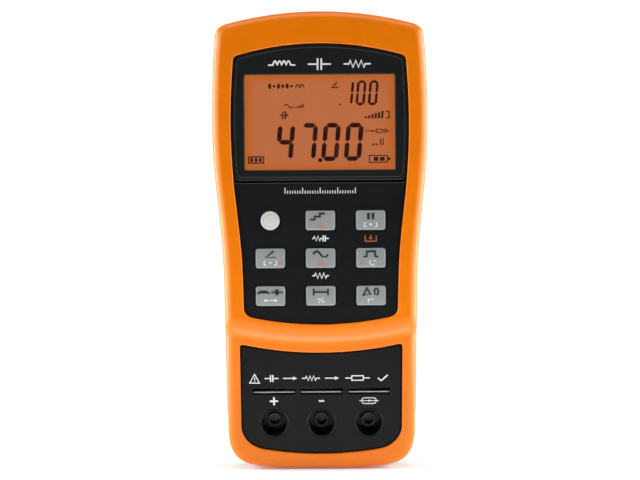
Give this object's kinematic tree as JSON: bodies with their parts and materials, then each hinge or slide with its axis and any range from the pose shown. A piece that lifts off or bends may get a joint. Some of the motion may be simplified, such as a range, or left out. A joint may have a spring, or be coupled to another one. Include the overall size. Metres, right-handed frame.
{
  "type": "lcr meter",
  "caption": "Hand-held component meter with backlit display, push keys, component lead slots, shrouded test jacks, tilt stand and battery cover.",
  "frame": {"origin": "centre of the case's lower end, on the plane it stands on", "axes": "+Z along the case's length to the display end, -Y out of the front panel, +X to the right seen from the front"},
  "size_m": [0.087, 0.041, 0.184],
  "materials": {
    "case_orange": "fine satin moulded orange ABS, slightly soft sheen",
    "case_grey": "fine-textured dark grey ABS",
    "panel_charcoal": "satin charcoal moulded panel with white print",
    "window_clear": "clear gloss acrylic",
    "lcd_amber": "orange-backlit liquid crystal glass",
    "key_grey": "silver-grey satin key cap",
    "key_white": "near-white satin key cap",
    "silicone": "soft grey silicone",
    "board_green": "green solder mask",
    "moulded_black": "black moulding",
    "nickel": "nickel plate",
    "spring_brass": "plated spring brass",
    "zinc_steel": "zinc plated steel",
    "backlight_white": "white light guide",
    "battery_jacket": "plain blue battery jacket",
    "lead_red": "red insulated wire",
    "relay_white": "white moulding",
    "ribbon_amber": "amber flexible circuit"
  },
  "bodies": {
    "case": {"backlight": "backlight_white", "battery_9v": "battery_jacket", "battery_lead_minus": "moulded_black", "battery_lead_plus": "lead_red", "battery_snap": "moulded_black", "board_ribbon": "ribbon_amber", "board_screw_left": "zinc_steel", "board_screw_right": "zinc_steel", "buzzer": "moulded_black", "case_screw_low_left": "zinc_steel", "case_screw_low_right": "zinc_steel", "case_screw_top_left": "zinc_steel", "case_screw_top_right": "zinc_steel", "contact_guard": "spring_brass", "contact_minus": "spring_brass", "contact_plus": "spring_brass", "crystal": "nickel", "dc_jack": "moulded_black", "display_bezel": "panel_charcoal", "display_window": "window_clear", "front_case": "case_orange", "ir_holder": "moulded_black", "ir_led": "moulded_black", "ir_receiver": "moulded_black", "ir_window": "moulded_black", "jack_guard": "nickel", "jack_minus": "nickel", "jack_plus": "nickel", "keypad_mat": "silicone", "keypad_panel": "panel_charcoal", "lcd_frame": "moulded_black", "lcd_glass": "lcd_amber", "main_board": "board_green", "main_chip": "moulded_black", "range_relay_left": "relay_white", "range_relay_right": "relay_white", "rear_case": "case_grey", "shield_can": "nickel", "stand_pin": "zinc_steel", "supply_capacitor": "moulded_black", "terminal_board": "board_green", "terminal_panel": "panel_charcoal", "zebra_strip": "silicone"},
    "power_button": {"power_button": "key_white"},
    "key_lower_centre": {"key_lower_centre": "key_grey"},
    "key_lower_left": {"key_lower_left": "key_grey"},
    "key_lower_right": {"key_lower_right": "key_grey"},
    "key_middle_centre": {"key_middle_centre": "key_grey"},
    "key_middle_left": {"key_middle_left": "key_grey"},
    "key_middle_right": {"key_middle_right": "key_grey"},
    "key_upper_centre": {"key_upper_centre": "key_grey"},
    "key_upper_right": {"key_upper_right": "key_grey"},
    "stand": {"tilt_stand": "case_grey"},
    "cover": {"battery_cover": "case_grey", "cover_screw": "zinc_steel"}
  },
  "joints": [
    {"name": "power_button_press", "type": "slide", "parent": "case", "child": "power_button", "axis": [0, 1, 0], "range_m": [0, 0.0012], "stiffness_N_per_m": 1200, "springref_m": -0.0004},
    {"name": "key_lower_centre_press", "type": "slide", "parent": "case", "child": "key_lower_centre", "axis": [0, 1, 0], "range_m": [0, 0.0012], "stiffness_N_per_m": 1200, "springref_m": -0.0004},
    {"name": "key_lower_left_press", "type": "slide", "parent": "case", "child": "key_lower_left", "axis": [0, 1, 0], "range_m": [0, 0.0012], "stiffness_N_per_m": 1200, "springref_m": -0.0004},
    {"name": "key_lower_right_press", "type": "slide", "parent": "case", "child": "key_lower_right", "axis": [0, 1, 0], "range_m": [0, 0.0012], "stiffness_N_per_m": 1200, "springref_m": -0.0004},
    {"name": "key_middle_centre_press", "type": "slide", "parent": "case", "child": "key_middle_centre", "axis": [0, 1, 0], "range_m": [0, 0.0012], "stiffness_N_per_m": 1200, "springref_m": -0.0004},
    {"name": "key_middle_left_press", "type": "slide", "parent": "case", "child": "key_middle_left", "axis": [0, 1, 0], "range_m": [0, 0.0012], "stiffness_N_per_m": 1200, "springref_m": -0.0004},
    {"name": "key_middle_right_press", "type": "slide", "parent": "case", "child": "key_middle_right", "axis": [0, 1, 0], "range_m": [0, 0.0012], "stiffness_N_per_m": 1200, "springref_m": -0.0004},
    {"name": "key_upper_centre_press", "type": "slide", "parent": "case", "child": "key_upper_centre", "axis": [0, 1, 0], "range_m": [0, 0.0012], "stiffness_N_per_m": 1200, "springref_m": -0.0004},
    {"name": "key_upper_right_press", "type": "slide", "parent": "case", "child": "key_upper_right", "axis": [0, 1, 0], "range_m": [0, 0.0012], "stiffness_N_per_m": 1200, "springref_m": -0.0004},
    {"name": "stand_hinge", "type": "hinge", "parent": "case", "child": "stand", "pos_m": [0, 0.0176, 0.16], "axis": [1, 0, 0], "range_deg": [0, 50]},
    {"name": "cover_lift_off", "type": "slide", "parent": "case", "child": "cover", "axis": [0, 1, 0], "range_m": [0, 0.03]}
  ]
}
